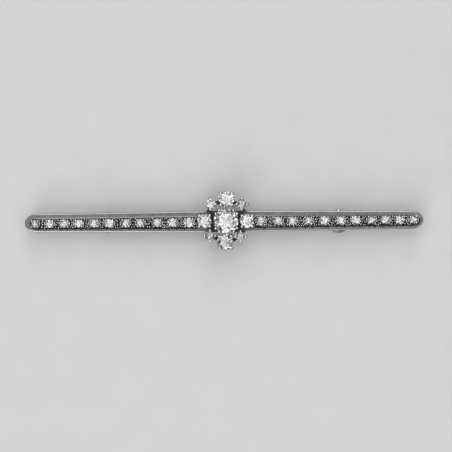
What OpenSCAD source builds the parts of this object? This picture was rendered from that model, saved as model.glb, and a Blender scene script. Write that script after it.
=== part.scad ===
// Diamond bar brooch: a slim straight bar with a row of small stones on each half,
// and a flower of nine claw-set stones in the middle. Its pin lies behind the bar.
// X runs along the bar, Y across it and Z out of the front. It rests on its back at z = 0.

/* [Bar] */
// Length from tip to tip
bar_length = 78; // [77.5:0.5:80]
// Width at the middle
bar_middle_width = 4.05; // [3.9:0.05:4.4]
// Width where the rounded ends begin
bar_end_width = 3.5; // [3.4:0.05:3.8]
// Length of each rounded end
bar_end_round = 2.3; // [1.8:0.1:2.6]
// Thickness from the back to the plain borders
bar_thickness = 1.6; // [1.4:0.1:1.8]
// Height of the back of the bar above the surface that the brooch lies on
bar_lift = 2.8; // [2.6:0.1:3.2]

/* [Stone channel] */
// Width of the sunk channel near the flower
channel_inner_width = 2.5; // [2.4:0.05:2.6]
// Width of the sunk channel round the last stone
channel_outer_width = 2.06; // [2:0.02:2.1]
// Depth of the channel below the borders
channel_depth = 0.35; // [0.25:0.05:0.4]
// Height of each girdle above the floor of the channel
girdle_rise = 0.1; // [0.05:0.01:0.15]
// Radius of a raised grain
grain_r = 0.25; // [0.22:0.01:0.26]

/* [Stones] */
// Diameter of the table, as a share of the stone's
table_share = 0.55; // [0.5:0.01:0.6]
// Height of the crown, as a share of the diameter
crown_share = 0.16; // [0.14:0.01:0.18]
// Depth of the pavilion, as a share of the diameter
pavilion_share = 0.42; // [0.4:0.01:0.43]
// Thickness of the girdle, as a share of the diameter
girdle_share = 0.03; // [0.02:0.005:0.04]
// Gap between a stone and its metal
stone_gap = 0.03; // [0.02:0.005:0.04]

/* [Flower] */
// Middle of the flower, along the bar
flower_x = 0.4; // [0:0.1:0.6]
// Middle of the flower, across the bar
flower_y = 0.1; // [0:0.05:0.2]
// Height of the middle stone's girdle above the borders
middle_rise = 1.85; // [1.8:0.05:2.1]
// Height of the outer stones' girdles above the borders
outer_rise = 1.3; // [1.25:0.05:1.4]
// Wall of a collet
collet_wall = 0.3; // [0.25:0.05:0.35]
// Radius of the hidden ring that carries the outer collets
carrier_r = 3.95; // [3.9:0.05:4]
// Width of that ring
carrier_width = 0.7; // [0.6:0.05:0.8]

/* [Pin and catch] */
// Distance of the hinge from the middle
hinge_x = 23; // [22:0.5:24]
// Distance of the catch from the middle
catch_x = 22.6; // [22:0.2:24]
// Radius of the pin's wire
pin_r = 0.4; // [0.35:0.05:0.45]
// Height of the pin's axis above the surface
pin_z = 1; // [0.9:0.05:1.1]
// Outer radius of the catch
catch_r = 1.3; // [1.25:0.05:1.35]
// Radius of the knob on the catch's lever
knob_r = 0.4; // [0.35:0.05:0.45]

/* [Hidden] */
$fn = 48;

// The rows of the bar, counted outwards from the flower: columns AT, SIZE
AT = 0;
SIZE = 1;
LEFT_ROW = [
    [6.9, 2], [10.1, 1.75], [13.1, 1.75], [16.4, 1.7], [19.3, 1.75], [22.5, 1.75],
    [25.5, 1.7], [28.5, 1.65], [31.3, 1.7], [34.2, 1.65], [37.1, 1.55]
];
RIGHT_ROW = [
    [7.2, 1.95], [10.6, 1.75], [13.4, 1.75], [16.5, 1.75], [19.7, 1.75], [22.8, 1.75],
    [25.8, 1.7], [28.9, 1.7], [31.7, 1.65], [34.4, 1.65], [37.1, 1.6]
];
// Middle of each row across the bar, as the borders are not of one width
LEFT_ROW_Y = -0.15;
RIGHT_ROW_Y = 0.05;

// The flower's outer stones, placed from its middle: columns NAME, X, Y, D, CLAW_R, TURN
NAME = 0;
X = 1;
Y = 2;
D = 3;
CLAW_R = 4;
TURN = 5;
OUTER_STONES = [
    ["top_stone", 0.05, 4.2, 3.1, 0.3, 45],
    ["bottom_stone", -0.25, -4.1, 3.15, 0.3, 45],
    ["left_stone", -4.25, 0.05, 2.85, 0.28, 45],
    ["right_stone", 4.05, -0.05, 2.8, 0.28, 45],
    ["top_left_stone", -3.1, 3.3, 1.95, 0.26, 0],
    ["top_right_stone", 3.05, 3.25, 1.95, 0.26, 0],
    ["bottom_left_stone", -3.2, -2.85, 1.95, 0.26, 0],
    ["bottom_right_stone", 2.75, -3.1, 1.95, 0.26, 0]
];
MIDDLE_D = 4.9;
MIDDLE_CLAW_R = 0.28;

// Heights of the borders, the channel's floor, the girdles and the ring that carries the collets
BORDER_Z = bar_lift + bar_thickness;
CHANNEL_Z = BORDER_Z - channel_depth;
ROW_Z = CHANNEL_Z + girdle_rise;
MIDDLE_Z = BORDER_Z + middle_rise;
OUTER_Z = BORDER_Z + outer_rise;
CARRIER_H = 0.65;
CARRIER_Z = BORDER_Z - 0.9;
CARRIER_TOP = CARRIER_Z + CARRIER_H;

// A brilliant: eightfold, with sixteen girdle points, in shares of its radius
FOLD = 8;
STEP = 360 / FOLD;
HALF = STEP / 2;
STAR_SHARE = 0.775;
LOWER_SHARE = 0.3;

// Grains and claws: how far the middle of each lies outside the edge of its stone
GRAIN_OUT = 0.1;
GRAIN_RISE = 0.02;
CLAW_OUT = 0.14;
// The middle stone's claws stand in pairs, this many degrees to each side of its diagonals
CLAW_PAIR_SPREAD = 11;
DIAGONALS = [45:90:315];
// A collet's foot, as a share of its stone, and its mouth under the stone's edge
COLLET_FOOT_SHARE = 0.7;
COLLET_INSET = 0.03;
COLLET_DROP = 0.12;
// How deep soldered pieces run into each other
SOLDER = 0.1;

SEAT_HOLE_SHARE = 0.6;
CHANNEL_START = 5.3;
// Where the rounded ends begin, and the steps of each
END_X = bar_length / 2 - bar_end_round;
END_STEPS = 12;
CUT = 1;

// The fittings behind the bar
FITTING_GAP = 0.03;
FOOT_SIZE = [3.2, 3.2, 0.4];
FOOT_Z = bar_lift - FITTING_GAP - FOOT_SIZE[2];
HINGE_R = 1.1;
HINGE_WIDTH = 3.8;
HINGE_WEB = [1.8, 3.2];
PIN_START_Y = -1.1;
PIN_END_Y = -1.65;
PIN_REACH = 0.4;
PIN_TIP = 3;
PIN_TIP_R = 0.06;
CATCH_LENGTH = 2.3;
CATCH_Y = -1.15;
CATCH_Z = catch_r - 0.05;
CATCH_WALL = 0.55;
CATCH_WEB = [1.9, 1];
MOUTH = 0.9;
ROLLER_LENGTH = 0.9;
ROLLER_INSET = 0.12;
LEVER_R = 0.25;
LEVER_START = [CATCH_Y + catch_r - 0.5, 1.1];
KNOB_PLACE = [1.95, knob_r];

LEFT_NAMES = [for (i = [1:len(LEFT_ROW)]) str("left_row_stone_", i)];
RIGHT_NAMES = [for (i = [1:len(RIGHT_ROW)]) str("right_row_stone_", i)];
OUTER_NAMES = [for (s = OUTER_STONES) s[NAME]];

// Half of the bar's width at a distance from its middle
function half_width(x) =
    (bar_middle_width + (bar_end_width - bar_middle_width) * abs(x) / END_X) / 2;

// One rounded end of the bar, from the angle `from` on: an ellipse with its middle on the axis
function end_points(side, from) =
    [for (i = [0:END_STEPS])
        let (a = from + 180 * i / END_STEPS)
        [side * END_X + bar_end_round * cos(a), half_width(END_X) * sin(a)]];

function bar_points() = concat(
    end_points(1, -90), [[0, bar_middle_width / 2]],
    end_points(-1, 90), [[0, -bar_middle_width / 2]]
);

// Corners of a brilliant of radius r, from the table down to the culet
function crown_z(r) = 2 * r * (crown_share + girdle_share / 2);
function girdle_z(r) = girdle_share * r;
function star_z(r) = girdle_z(r) + 2 * r * crown_share
    * (1 - STAR_SHARE * cos(HALF)) / (1 - table_share);
function culet_z(r) = -2 * r * (pavilion_share + girdle_share / 2);
function lower_z(r) = -girdle_z(r) - 2 * r * pavilion_share * (1 - LOWER_SHARE * cos(HALF));
function ring(r, z, n, turn) =
    [for (i = [0:n - 1]) let (a = turn + i * 360 / n) [r * cos(a), r * sin(a), z]];

module brilliant(d) {
    r = d / 2;
    points = concat(
        ring(r * table_share, crown_z(r), FOLD, 0),
        ring(r * STAR_SHARE, star_z(r), FOLD, HALF),
        ring(r, girdle_z(r), 2 * FOLD, 0),
        ring(r, -girdle_z(r), 2 * FOLD, 0),
        ring(r * LOWER_SHARE, lower_z(r), FOLD, HALF),
        [[0, 0, culet_z(r)]]
    );
    star = FOLD;
    top = 2 * FOLD;
    low = 4 * FOLD;
    lower = 6 * FOLD;
    culet = 7 * FOLD;
    n = FOLD;
    m = 2 * FOLD;
    faces = concat(
        [[for (i = [n - 1:-1:0]) i]],
        [for (i = [0:n - 1]) [i, (i + 1) % n, star + i]],
        [for (i = [0:n - 1]) [i, star + i, top + 2 * i, star + (i + n - 1) % n]],
        [for (i = [0:n - 1]) [star + i, top + 2 * i + 1, top + 2 * i]],
        [for (i = [0:n - 1]) [star + i, top + (2 * i + 2) % m, top + 2 * i + 1]],
        [for (i = [0:m - 1]) [top + i, top + (i + 1) % m, low + (i + 1) % m, low + i]],
        [for (i = [0:n - 1]) [lower + i, low + 2 * i, low + 2 * i + 1]],
        [for (i = [0:n - 1]) [lower + i, low + 2 * i + 1, low + (2 * i + 2) % m]],
        [for (i = [0:n - 1]) [culet, lower + (i + n - 1) % n, low + 2 * i, lower + i]]
    );
    polyhedron(points, faces);
}

// The round space that a brilliant needs, larger than it by the gap all round
module stone_room(d) {
    r = d / 2;
    g = stone_gap;
    rotate_extrude()
        polygon([
            [0, culet_z(r) - 2 * g],
            [r * LOWER_SHARE + g, lower_z(r) - g],
            [r + g, -girdle_z(r) - g],
            [r + g, girdle_z(r) + g],
            [r * STAR_SHARE + g, star_z(r) + g],
            [r * table_share + g, crown_z(r) + g],
            [0, crown_z(r) + g]
        ]);
}

// The sunk channel of one half of the bar, with a round end past the last stone
module channel(row, side, y) {
    last = row[len(row) - 1][AT];
    translate([0, y, CHANNEL_Z])
        linear_extrude(channel_depth + CUT)
            union() {
                polygon([
                    [side * CHANNEL_START, -channel_inner_width / 2],
                    [side * last, -channel_outer_width / 2],
                    [side * last, channel_outer_width / 2],
                    [side * CHANNEL_START, channel_inner_width / 2]
                ]);
                translate([side * last, 0])
                    circle(channel_outer_width / 2);
            }
}

// Four grains pushed up from the channel's floor hold each stone of a row
module row_grains(row, side, y) {
    for (stone = row)
        for (a = DIAGONALS)
            translate([side * stone[AT], y, ROW_Z + GRAIN_RISE])
                rotate([0, 0, a])
                    translate([stone[SIZE] / 2 + GRAIN_OUT, 0, 0])
                        sphere(grain_r);
}

// The seats of a row, each with a hole through the back that lets light in
module row_seats(row, side, y) {
    for (stone = row)
        translate([side * stone[AT], y, 0]) {
            translate([0, 0, ROW_Z])
                stone_room(stone[SIZE]);
            translate([0, 0, bar_lift - CUT])
                cylinder(h = CUT + bar_thickness / 2, d = stone[SIZE] * SEAT_HOLE_SHARE);
        }
}

module bar() {
    difference() {
        translate([0, 0, bar_lift])
            linear_extrude(bar_thickness)
                polygon(bar_points());
        channel(LEFT_ROW, -1, LEFT_ROW_Y);
        channel(RIGHT_ROW, 1, RIGHT_ROW_Y);
    }
    row_grains(LEFT_ROW, -1, LEFT_ROW_Y);
    row_grains(RIGHT_ROW, 1, RIGHT_ROW_Y);
}

// An open tapered cup for a stone of diameter d, with its foot at z0 and the stone's girdle at z1
module collet(d, z0, z1) {
    mouth_r = d / 2 - COLLET_INSET;
    foot_r = d / 2 * COLLET_FOOT_SHARE;
    h = z1 - COLLET_DROP - z0;
    translate([0, 0, z0])
        difference() {
            cylinder(h = h, r1 = foot_r, r2 = mouth_r);
            translate([0, 0, -SOLDER])
                cylinder(h = h + 2 * SOLDER, r1 = foot_r - collet_wall, r2 = mouth_r - collet_wall);
        }
}

// A claw leans outwards along its collet, and its round tip lies on the stone's edge
module claw(d, claw_r, z0, z1, angle) {
    foot = d / 2 * COLLET_FOOT_SHARE - claw_r / 2;
    tip = d / 2 + CLAW_OUT;
    rise = z1 + SOLDER + d / 40 - z0;
    lean = atan2(tip - foot, rise);
    rotate([0, 0, angle])
        translate([foot, 0, z0])
            rotate([0, lean, 0]) {
                cylinder(h = rise / cos(lean), r = claw_r);
                translate([0, 0, rise / cos(lean)])
                    sphere(claw_r);
            }
}

// The hidden ring under the flower, which ties the outer collets to the bar
module carrier() {
    translate([0, 0, CARRIER_Z])
        difference() {
            cylinder(h = CARRIER_H, r = carrier_r + carrier_width / 2);
            translate([0, 0, -CUT])
                cylinder(h = CARRIER_H + 2 * CUT, r = carrier_r - carrier_width / 2);
        }
}

module flower() {
    translate([flower_x, flower_y, 0]) {
        carrier();
        collet(MIDDLE_D, BORDER_Z - 2 * SOLDER, MIDDLE_Z);
        for (a = DIAGONALS)
            for (spread = [-CLAW_PAIR_SPREAD, CLAW_PAIR_SPREAD])
                claw(MIDDLE_D, MIDDLE_CLAW_R, BORDER_Z - SOLDER, MIDDLE_Z, a + spread);
        for (s = OUTER_STONES)
            translate([s[X], s[Y], 0]) {
                collet(s[D], CARRIER_TOP - 2 * SOLDER, OUTER_Z);
                for (a = [0:90:270])
                    claw(s[D], s[CLAW_R], CARRIER_TOP - SOLDER, OUTER_Z, a + s[TURN]);
            }
    }
}

// What the flower's stones leave free in the metal
module flower_rooms() {
    translate([flower_x, flower_y, 0]) {
        translate([0, 0, MIDDLE_Z])
            stone_room(MIDDLE_D);
        for (s = OUTER_STONES)
            translate([s[X], s[Y], OUTER_Z])
                stone_room(s[D]);
    }
}

module setting() {
    color("silver")
        difference() {
            union() {
                bar();
                flower();
            }
            row_seats(LEFT_ROW, -1, LEFT_ROW_Y);
            row_seats(RIGHT_ROW, 1, RIGHT_ROW_Y);
            flower_rooms();
        }
}

module fitting_foot(x) {
    translate([x - FOOT_SIZE[0] / 2, -FOOT_SIZE[1] / 2, FOOT_Z])
        cube(FOOT_SIZE);
}

module web(x, y, z, size) {
    translate([x - size[0] / 2, y - size[1] / 2, z])
        cube([size[0], size[1], FOOT_Z + SOLDER - z]);
}

module hinge() {
    translate([-hinge_x, HINGE_WIDTH / 2, pin_z])
        rotate([90, 0, 0])
            cylinder(h = HINGE_WIDTH, r = HINGE_R);
    web(-hinge_x, 0, pin_z, HINGE_WEB);
    fitting_foot(-hinge_x);
}

// The pin slants a little across the bar to its catch, and ends in a point
module pin() {
    run = hinge_x + catch_x + CATCH_LENGTH / 2 + PIN_REACH;
    translate([-hinge_x, PIN_START_Y, pin_z])
        rotate([0, 90, atan2(PIN_END_Y - PIN_START_Y, run)]) {
            cylinder(h = run, r = pin_r);
            translate([0, 0, run])
                cylinder(h = PIN_TIP, r1 = pin_r, r2 = PIN_TIP_R);
        }
}

// One length of a sleeve along the pin, centred on the catch
module sleeve(length) {
    translate([catch_x - length / 2, CATCH_Y, CATCH_Z])
        rotate([90, 0, 90])
            linear_extrude(length)
                children();
}

// A safety catch: a hooked sleeve, with a short roller inside that closes its mouth
module catch() {
    sleeve(CATCH_LENGTH)
        difference() {
            circle(catch_r);
            circle(catch_r - CATCH_WALL);
            translate([0, -MOUTH / 2])
                square([2 * catch_r, MOUTH]);
        }
    sleeve(ROLLER_LENGTH)
        difference() {
            circle(catch_r - ROLLER_INSET);
            circle(catch_r - CATCH_WALL - SOLDER / 2);
        }
    web(catch_x, CATCH_Y, CATCH_Z + catch_r - CATCH_WALL + SOLDER, CATCH_WEB);
    fitting_foot(catch_x);
}

// The lever that turns the catch shut, with the knob that shows beside the bar
module lever() {
    run = KNOB_PLACE - LEVER_START;
    translate([catch_x, LEVER_START[0], LEVER_START[1]])
        rotate([atan2(run[1], run[0]) - 90, 0, 0])
            cylinder(h = norm(run), r = LEVER_R);
    translate([catch_x, KNOB_PLACE[0], KNOB_PLACE[1]])
        sphere(knob_r);
}

// The hinge and the catch are filed flat where they meet the surface at z = 0
module pin_and_catch() {
    color("gainsboro")
        intersection() {
            union() {
                hinge();
                pin();
                catch();
                lever();
            }
            translate([-bar_length / 2, -bar_middle_width, 0])
                cube([bar_length, 2 * bar_middle_width, bar_lift]);
        }
}

module row_stone(stone, side, y) {
    color("white")
        translate([side * stone[AT], y, ROW_Z])
            brilliant(stone[SIZE]);
}

module flower_stone(x, y, z, d) {
    color("white")
        translate([flower_x + x, flower_y + y, z])
            brilliant(d);
}

setting();
pin_and_catch();
flower_stone(0, 0, MIDDLE_Z, MIDDLE_D);  // middle_stone
for (s = OUTER_STONES)
    flower_stone(s[X], s[Y], OUTER_Z, s[D]);
for (i = [0:len(LEFT_ROW) - 1])
    row_stone(LEFT_ROW[i], -1, LEFT_ROW_Y);
for (i = [0:len(RIGHT_ROW) - 1])
    row_stone(RIGHT_ROW[i], 1, RIGHT_ROW_Y);
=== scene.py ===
# %% [markdown]
# A diamond bar brooch is built here round a fixed frame. The frame holds every solid of the
# brooch at its real size: the metal, the hidden pin and 31 stones. Nothing in it is moved. The
# stones keep their cut shape and get a material, and the metal is modelled again with the soft
# edges, beads and claws that a jeweller's tools leave. Blender counts in metres, and a jeweller
# in millimetres, so each size below is written as a number of millimetres.

import math
import random

import bmesh
import bpy
from mathutils import Matrix, Vector


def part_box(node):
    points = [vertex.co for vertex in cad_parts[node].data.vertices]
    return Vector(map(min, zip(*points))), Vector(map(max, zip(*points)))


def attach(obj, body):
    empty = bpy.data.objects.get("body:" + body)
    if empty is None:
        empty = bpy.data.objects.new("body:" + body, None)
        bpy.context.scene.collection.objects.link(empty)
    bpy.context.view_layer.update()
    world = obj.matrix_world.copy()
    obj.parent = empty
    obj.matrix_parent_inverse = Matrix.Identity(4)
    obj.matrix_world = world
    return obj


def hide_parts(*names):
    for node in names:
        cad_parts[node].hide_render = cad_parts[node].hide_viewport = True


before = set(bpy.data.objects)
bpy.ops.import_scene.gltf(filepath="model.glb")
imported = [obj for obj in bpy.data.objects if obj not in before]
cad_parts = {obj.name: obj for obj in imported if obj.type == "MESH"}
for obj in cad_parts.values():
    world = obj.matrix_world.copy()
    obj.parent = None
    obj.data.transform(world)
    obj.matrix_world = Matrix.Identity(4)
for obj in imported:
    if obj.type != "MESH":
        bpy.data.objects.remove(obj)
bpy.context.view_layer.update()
MM = 0.001
TOUCH = 0.01 * MM

# %% [markdown]
# The camera comes first, because it decides which details show. The brooch lies on its back and
# is seen from straight above, with its right end a little higher in the picture. The bar's length
# in the picture gives the width of the view, and a long lens keeps the bar's sides parallel. The
# floor is plain and pale, and the lights are large and soft, as on a jeweller's table.

# %% Sizes of the picture
PICTURE_PX = 452
BAR_LENGTH_PX = 398.7
BAR_MIDDLE_PX = (224.15, 221.45)
BAR_TILT = math.radians(0.51)
BORDER_Z = 4.4 * MM
CAMERA_RISE = 350 * MM
CLIP_START = 10 * MM
SENSOR_MM = 36

setting_low, setting_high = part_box("setting")
BAR_LENGTH = setting_high.x - setting_low.x
PIXEL = BAR_LENGTH / BAR_LENGTH_PX
view_width = PICTURE_PX * PIXEL
shift_px = Vector((PICTURE_PX / 2 - BAR_MIDDLE_PX[0], BAR_MIDDLE_PX[1] - PICTURE_PX / 2, 0))
view_middle = Matrix.Rotation(-BAR_TILT, 3, "Z") @ shift_px * PIXEL
print("The view is", round(view_width / MM, 2), "mm wide at the borders")

# %% Place the camera
bpy.ops.object.select_all(action="DESELECT")
bpy.ops.object.camera_add(
    location=(view_middle.x, view_middle.y, BORDER_Z + CAMERA_RISE), rotation=(0, 0, -BAR_TILT)
)
camera = bpy.context.active_object
camera.name = "camera"
camera.data.sensor_width = SENSOR_MM
camera.data.lens = SENSOR_MM * CAMERA_RISE / view_width
camera.data.clip_start = CLIP_START
bpy.context.scene.camera = camera
print("Lens:", round(camera.data.lens, 1), "mm")

# %% Soft lights and the sky between them
LIGHTS = {
    "key_softbox": {"place": (-0.15, -0.45, 0.30), "size": (0.4, 0.4), "power": 1.2},
    "fill_softbox": {"place": (0.03, 0.48, 0.37), "size": (0.4, 0.4), "power": 1.0},
    "top_softbox": {"place": (0, 0, 0.6), "size": (0.3, 0.2), "power": 0.175},
}
RING_LIGHTS = 8
RING_RADII = (0.20, 0.34)
RING_HEIGHT = 0.5
# The first light of the ring stands this share of a step past the bar's right end
RING_TURN = 0.3
RING_LIGHT = {"size": (0.14, 0.14), "power": 0.22}
SKY = 0.25


def add_softbox(name, place, size, power):
    """Adds an oblong soft light that looks at the brooch."""
    bpy.ops.object.light_add(type="AREA", location=place)
    light = bpy.context.active_object
    light.name = name
    light.data.shape = "RECTANGLE"
    light.data.size, light.data.size_y = size
    light.data.energy = power
    light.rotation_euler = (-Vector(place)).to_track_quat("-Z", "Y").to_euler()


for light_name, light in LIGHTS.items():
    add_softbox(light_name, **light)
for i in range(RING_LIGHTS):
    turn = 2 * math.pi * (i + RING_TURN) / RING_LIGHTS
    radius = RING_RADII[i % 2]
    place = (math.cos(turn) * radius, math.sin(turn) * radius, RING_HEIGHT)
    add_softbox(f"ring_light_{i + 1}", place, **RING_LIGHT)
world = bpy.data.worlds.new("pale_sky")
world.use_nodes = True
world.node_tree.nodes["Background"].inputs["Color"].default_value = (1, 1, 1, 1)
world.node_tree.nodes["Background"].inputs["Strength"].default_value = SKY
bpy.context.scene.world = world
bpy.context.scene.view_settings.view_transform = "Standard"
print("Lights:", len(LIGHTS) + RING_LIGHTS)

# %% [markdown]
# Every material below is worked out from Object coordinates, which are metres here, so the scale
# of a pattern is one over its real size. Colours are written as they look on a screen, and one
# function turns them into the linear values that the renderer counts with. A second function adds
# a node with its settings and its links, and all materials are built with it.

# %% Helpers for materials
def linear(hex_code):
    """Turns an sRGB colour such as #c8c8c8 into linear red, green, blue and alpha."""
    shares = [int(hex_code[i:i + 2], 16) / 255 for i in (1, 3, 5)]
    return [s / 12.92 if s <= 0.04045 else ((s + 0.055) / 1.055) ** 2.4 for s in shares] + [1]


def set_stops(points, stops):
    """Sets a colour ramp's stops: pairs of a place from 0 to 1 and an sRGB colour."""
    points[0].position, points[1].position = stops[0][0], stops[-1][0]
    points[0].color, points[1].color = linear(stops[0][1]), linear(stops[-1][1])
    for place, colour in stops[1:-1]:
        points.new(place).color = linear(colour)


def add_node(tree, kind, settings=None, links=None):
    """Adds a node. Its kind goes without the common start, ShaderNode. Settings are properties,
    inputs or a ramp's stops. A link reads another node's first output, or a socket."""
    node = tree.nodes.new("ShaderNode" + kind)
    for key, value in (settings or {}).items():
        if key == "stops":
            set_stops(node.color_ramp.elements, value)
        elif isinstance(key, str) and hasattr(node, key):
            setattr(node, key, value)
        else:
            node.inputs[key].default_value = value
    for key, source in (links or {}).items():
        socket = source.outputs[0] if hasattr(source, "outputs") else source
        tree.links.new(socket, node.inputs[key])
    return node


def new_material(name):
    """Makes an empty material and returns it with its node tree."""
    material = bpy.data.materials.new(name)
    material.use_nodes = True
    material.node_tree.nodes.clear()
    return material, material.node_tree


print("Mid grey in linear light:", round(linear("#808080")[0], 3))

# %% [markdown]
# The bar is cast and rolled silver, about a hundred years old. Its flat borders have gone a dull
# grey, crossed by fine scratches along the bar, while every edge that a hand or a cloth meets is
# rubbed bright. A flat face points straight up and a worn edge is slanted, so the direction of the
# surface tells the two apart, which also works for the beads and claws. That colour by direction
# is partly wear and partly painted light: a painted highlight where a rim slopes a little and a
# painted dark band where it slopes more. The metal is also painted darker the nearer it lies to
# the flower's middle, as painted shade.

# %% Aged silver for the bar, with painted light and painted shade
PATCH_SIZE = 1.6 * MM
# Scratches are drawn 0.12 mm apart and twelve times as long, coarser than real ones, to show
SCRATCH_GAP = 0.12 * MM
SCRATCH_STRETCH = 12
# A worn slope is smoother than the flat metal by this much roughness
WEAR_GLOSS = 0.2
stone_low, stone_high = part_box("middle_stone")
FLOWER_MIDDLE = ((stone_low.x + stone_high.x) / 2, (stone_low.y + stone_high.y) / 2, BORDER_Z)
# Painted shade darkens most of the metal up to the first distance from there, and none past the
# second
FLOWER_SHADE_REACH = (3.2 * MM, 4.6 * MM)
FLOWER_SHADE_SHARE = 0.8
FLOWER_SHADE_COLOUR = "#202020"


def surface_up(tree):
    """How far the surface points up: 1 on a flat top, 0 on an upright side, -1 underneath."""
    coordinates = add_node(tree, "TexCoord")
    parts = add_node(tree, "SeparateXYZ", links={"Vector": coordinates.outputs["Normal"]})
    return coordinates.outputs["Object"], parts.outputs["Z"]


def aged_silver_and_painted_light(name, rim_colour, wear_and_light_stops):
    """Silver dulled by air: grey faces and fine scratches. Slopes are bright with wear and painted
    light, and the metal near the flower is darkened by painted shade.
    """
    material, tree = new_material(name)
    place, up = surface_up(tree)
    patches = add_node(tree, "TexNoise", {"Scale": 1 / PATCH_SIZE, "Detail": 4}, {"Vector": place})
    dull = add_node(
        tree, "ValToRGB", {"stops": [(0.3, "#5c5c5c"), (0.7, "#737373")]}, {"Fac": patches}
    )
    # Painted light by direction: partly wear, partly a painted highlight and a painted dark band
    wear_and_light = add_node(tree, "ValToRGB", {"stops": wear_and_light_stops}, {"Fac": up})
    before_flower_shade = add_node(tree, "MixRGB", {"Color2": linear(rim_colour)}, {"Fac": wear_and_light, "Color1": dull})
    # Painted shade: the metal is darker towards the flower's middle
    away = add_node(tree, "VectorMath", {"operation": "DISTANCE", 1: FLOWER_MIDDLE}, {0: place})
    flower_shade = add_node(
        tree, "MapRange",
        {"From Min": FLOWER_SHADE_REACH[0], "From Max": FLOWER_SHADE_REACH[1], "To Min": FLOWER_SHADE_SHARE, "To Max": 0},
        {"Value": away.outputs["Value"]},
    )
    colour = add_node(tree, "MixRGB", {"Color2": linear(FLOWER_SHADE_COLOUR)}, {"Fac": flower_shade, "Color1": before_flower_shade})
    along = add_node(tree, "Mapping", {"Scale": (1 / SCRATCH_STRETCH, 1, 1)}, {"Vector": place})
    scratches = add_node(
        tree, "TexNoise", {"Scale": 1 / SCRATCH_GAP, "Detail": 3}, {"Vector": along}
    )
    satin = add_node(tree, "MapRange", {"To Min": 0.36, "To Max": 0.52}, {"Value": scratches})
    gloss = add_node(
        tree, "Math", {"operation": "MULTIPLY_ADD", 1: -WEAR_GLOSS}, {0: wear_and_light, 2: satin}
    )
    relief = add_node(
        tree, "Bump", {"Strength": 0.25, "Distance": 0.02 * MM}, {"Height": scratches}
    )
    shader = add_node(
        tree, "BsdfPrincipled", {"Metallic": 1},
        {"Base Color": colour, "Roughness": gloss, "Normal": relief},
    )
    add_node(tree, "OutputMaterial", links={"Surface": shader})
    return material


# How bright the metal is by how far it points up: partly wear, partly a painted highlight where a
# rim slopes by 20 to 30 degrees, and a painted dark band where it slopes more
RIM_WEAR_AND_LIGHT = [
    (0.0, "#a8a8a8"), (0.3, "#242424"), (0.62, "#242424"), (0.78, "#5e5e5e"), (0.86, "#ffffff"),
    (0.95, "#ffffff"), (0.985, "#000000"),
]
# In the channels the slanted wall of the bright cut is painted white, a painted highlight, over
# the same painted dark band on steeper slopes, and the rim above it is painted less bright
CHANNEL_CUT_AND_LIGHT = [
    (0.0, "#a8a8a8"), (0.3, "#242424"), (0.62, "#242424"), (0.74, "#ffffff"), (0.8, "#ffffff"),
    (0.9, "#808080"), (0.985, "#000000"),
]
silver = aged_silver_and_painted_light("aged_silver_and_painted_light", "#cccccc", RIM_WEAR_AND_LIGHT)
cut_silver = aged_silver_and_painted_light("channel_silver", "#949494", CHANNEL_CUT_AND_LIGHT)
print("Made", silver.name, "and", cut_silver.name)

# %% [markdown]
# Between the stones the metal is cut away and has gone almost black, because no cloth reaches
# it. That dark ground is what lets the small bright beads and the stones stand out. A cell
# pattern, with one paler round spot in each cell, gives it the marks of a small punch.

# %% Blackened silver for the cut ground
PUNCH_MARK = 0.26 * MM


def blackened_silver():
    """Silver turned black in the cuts: dark and rough, with paler round punch marks."""
    material, tree = new_material("blackened_silver")
    place = surface_up(tree)[0]
    marks = add_node(tree, "TexVoronoi", {"Scale": 1 / PUNCH_MARK}, {"Vector": place})
    colour = add_node(
        tree, "ValToRGB",
        {"stops": [(0.1, "#686868"), (0.35, "#383838"), (0.6, "#181818")]}, {"Fac": marks},
    )
    relief = add_node(
        tree, "Bump", {"Strength": 0.6, "Distance": 0.06 * MM, "invert": True},
        {"Height": marks},
    )
    shader = add_node(
        tree, "BsdfPrincipled", {"Metallic": 1, "Roughness": 0.42},
        {"Base Color": colour, "Normal": relief},
    )
    add_node(tree, "OutputMaterial", links={"Surface": shader})
    return material


ground = blackened_silver()
print("Made", ground.name)

# %% [markdown]
# Beads, grains and claws are pushed up and rubbed round with a polished steel tool. Their tops
# are painted bright and their feet dark: a painted highlight where the metal points up and painted
# shade where it turns away, with stains mixed in. Beads and grains are the brightest. The claws
# are painted darker, so only their tips shine. Metal that lies deep under the flower is painted
# dark all over, as painted shade.

# %% Burnished and rubbed silver with painted light, and silver painted as shade
STAIN_SIZE = 0.5 * MM
STAIN_SHARE = 0.35
SHADE_PATCH_SIZE = 0.7 * MM


def rounded_silver(name, stops, roughness):
    """Silver worked with polished steel: painted highlights on round tops over painted shade."""
    material, tree = new_material(name)
    place, up = surface_up(tree)
    stains = add_node(tree, "TexNoise", {"Scale": 1 / STAIN_SIZE, "Detail": 3}, {"Vector": place})
    level = add_node(
        tree, "Math", {"operation": "MULTIPLY_ADD", 1: STAIN_SHARE}, {0: stains, 2: up}
    )
    # Painted light by direction: bright where the metal points up, dark where it turns away
    colour = add_node(tree, "ValToRGB", {"stops": stops}, {"Fac": level})
    relief = add_node(tree, "Bump", {"Strength": 0.15, "Distance": 0.03 * MM}, {"Height": stains})
    shader = add_node(
        tree, "BsdfPrincipled", {"Metallic": 1, "Roughness": roughness},
        {"Base Color": colour, "Normal": relief},
    )
    add_node(tree, "OutputMaterial", links={"Surface": shader})
    return material


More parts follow.
